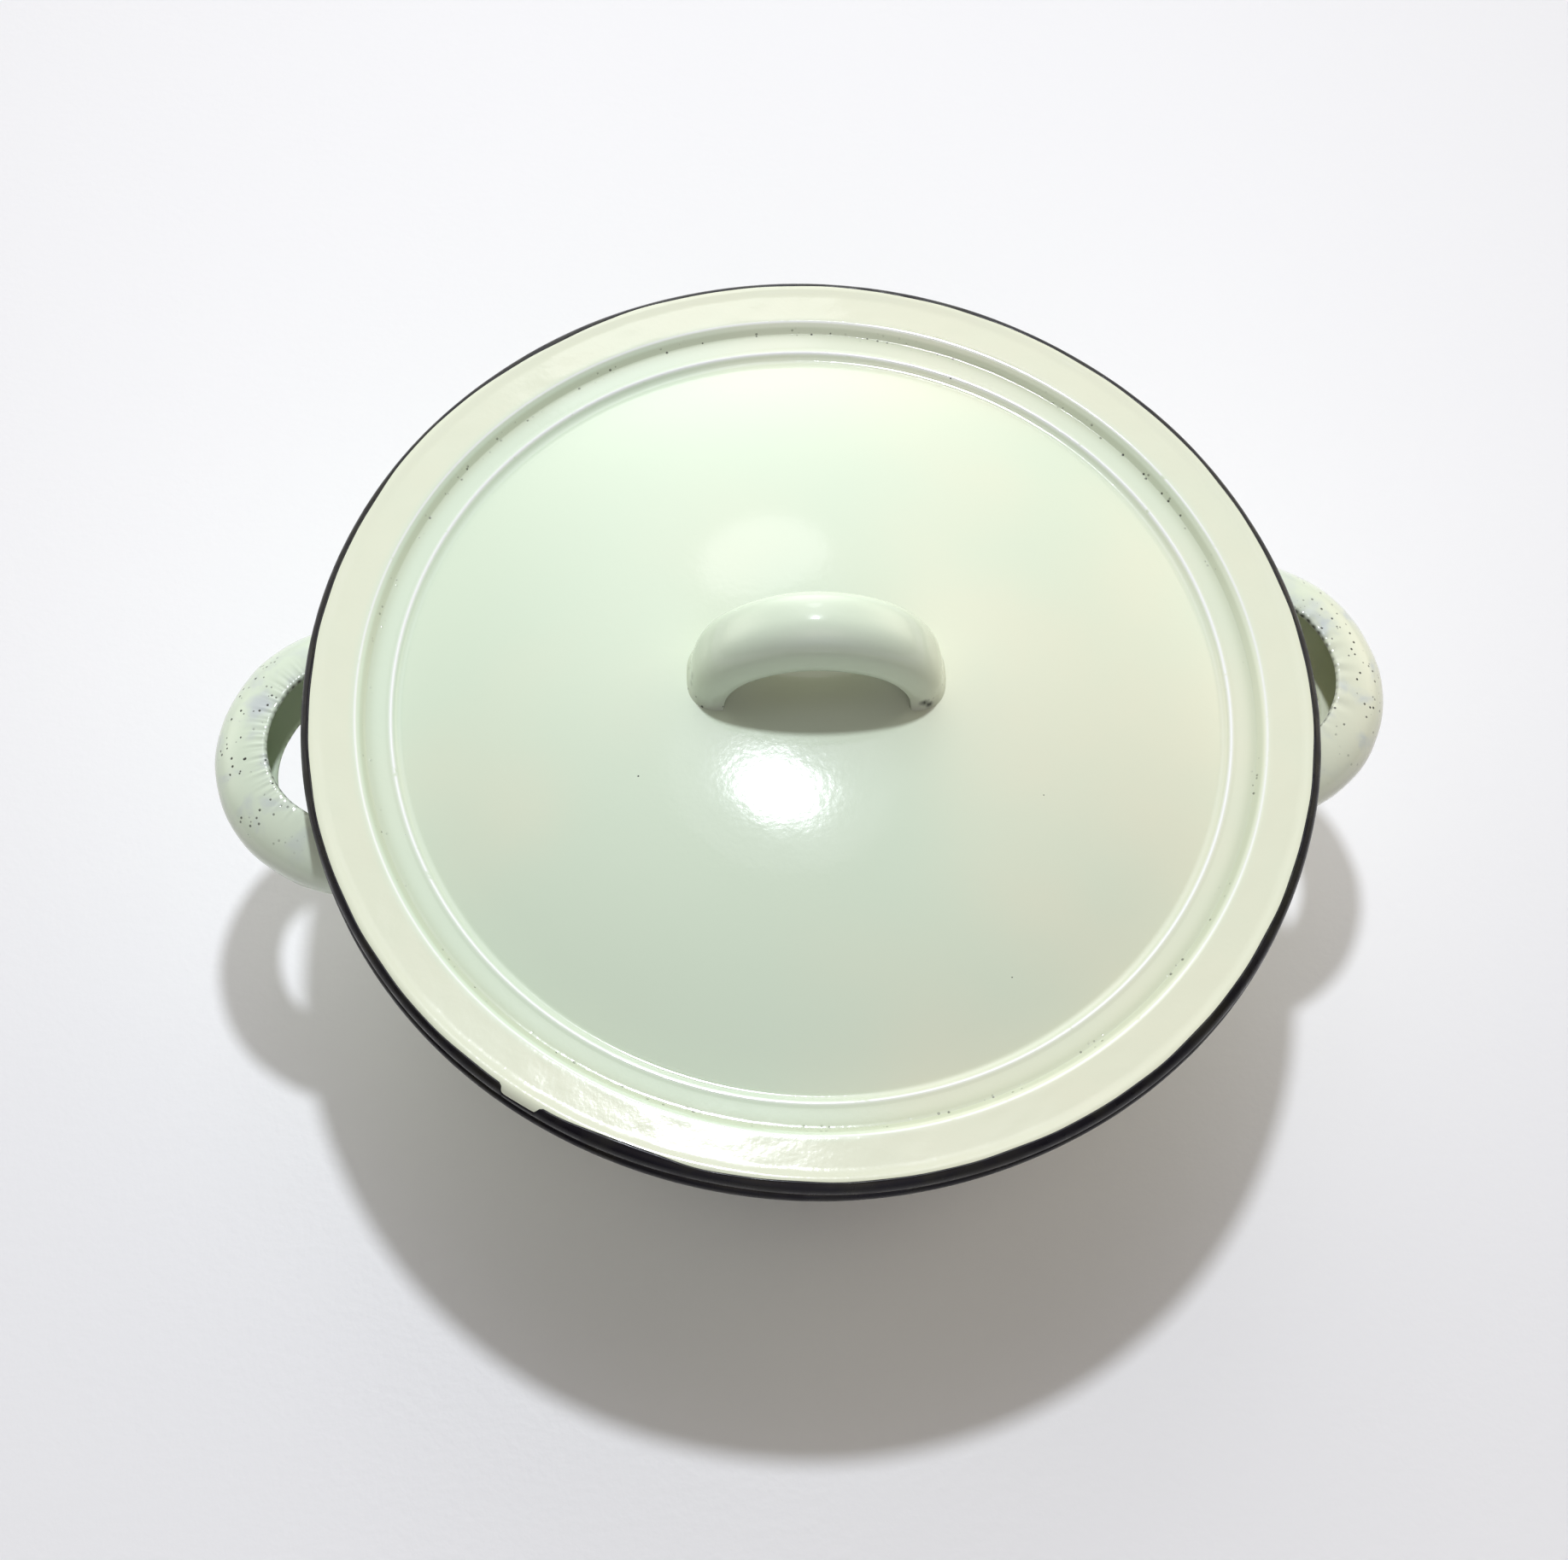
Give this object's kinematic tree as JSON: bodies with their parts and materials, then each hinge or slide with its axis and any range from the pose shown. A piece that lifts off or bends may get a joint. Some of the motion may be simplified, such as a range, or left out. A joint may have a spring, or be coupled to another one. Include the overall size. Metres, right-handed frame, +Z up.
{
  "type": "covered casserole dish",
  "caption": "Round covered casserole: tapered enamelled steel pot with channel loop handles, black rolled rims and a stepped domed lid with an arch handle.",
  "frame": {"origin": "middle of the base, on the plane that the pot stands on", "axes": "+Z up, -X through the left loop handle; the right loop and the lid's arch handle lie within 4 degrees of X"},
  "size_m": [0.2857, 0.2406, 0.1376],
  "materials": {
    "mint_enamel": "gloss pale mint vitreous enamel on pressed steel, with pinholes and small pits",
    "black_enamel": "gloss black vitreous enamel on the rolled edges, with an uneven wiped border"
  },
  "bodies": {
    "pot": {"pot_body": "mint_enamel", "pot_rim": "black_enamel", "pot_handle_left": "mint_enamel", "pot_handle_right": "mint_enamel"},
    "lid": {"lid_shell": "mint_enamel", "lid_rim": "black_enamel", "lid_handle": "mint_enamel"}
  },
  "joints": [
    {"name": "lid_lift", "type": "slide", "parent": "pot", "child": "lid", "axis": [0, 0, 1], "range_m": [0, 0.15]}
  ]
}
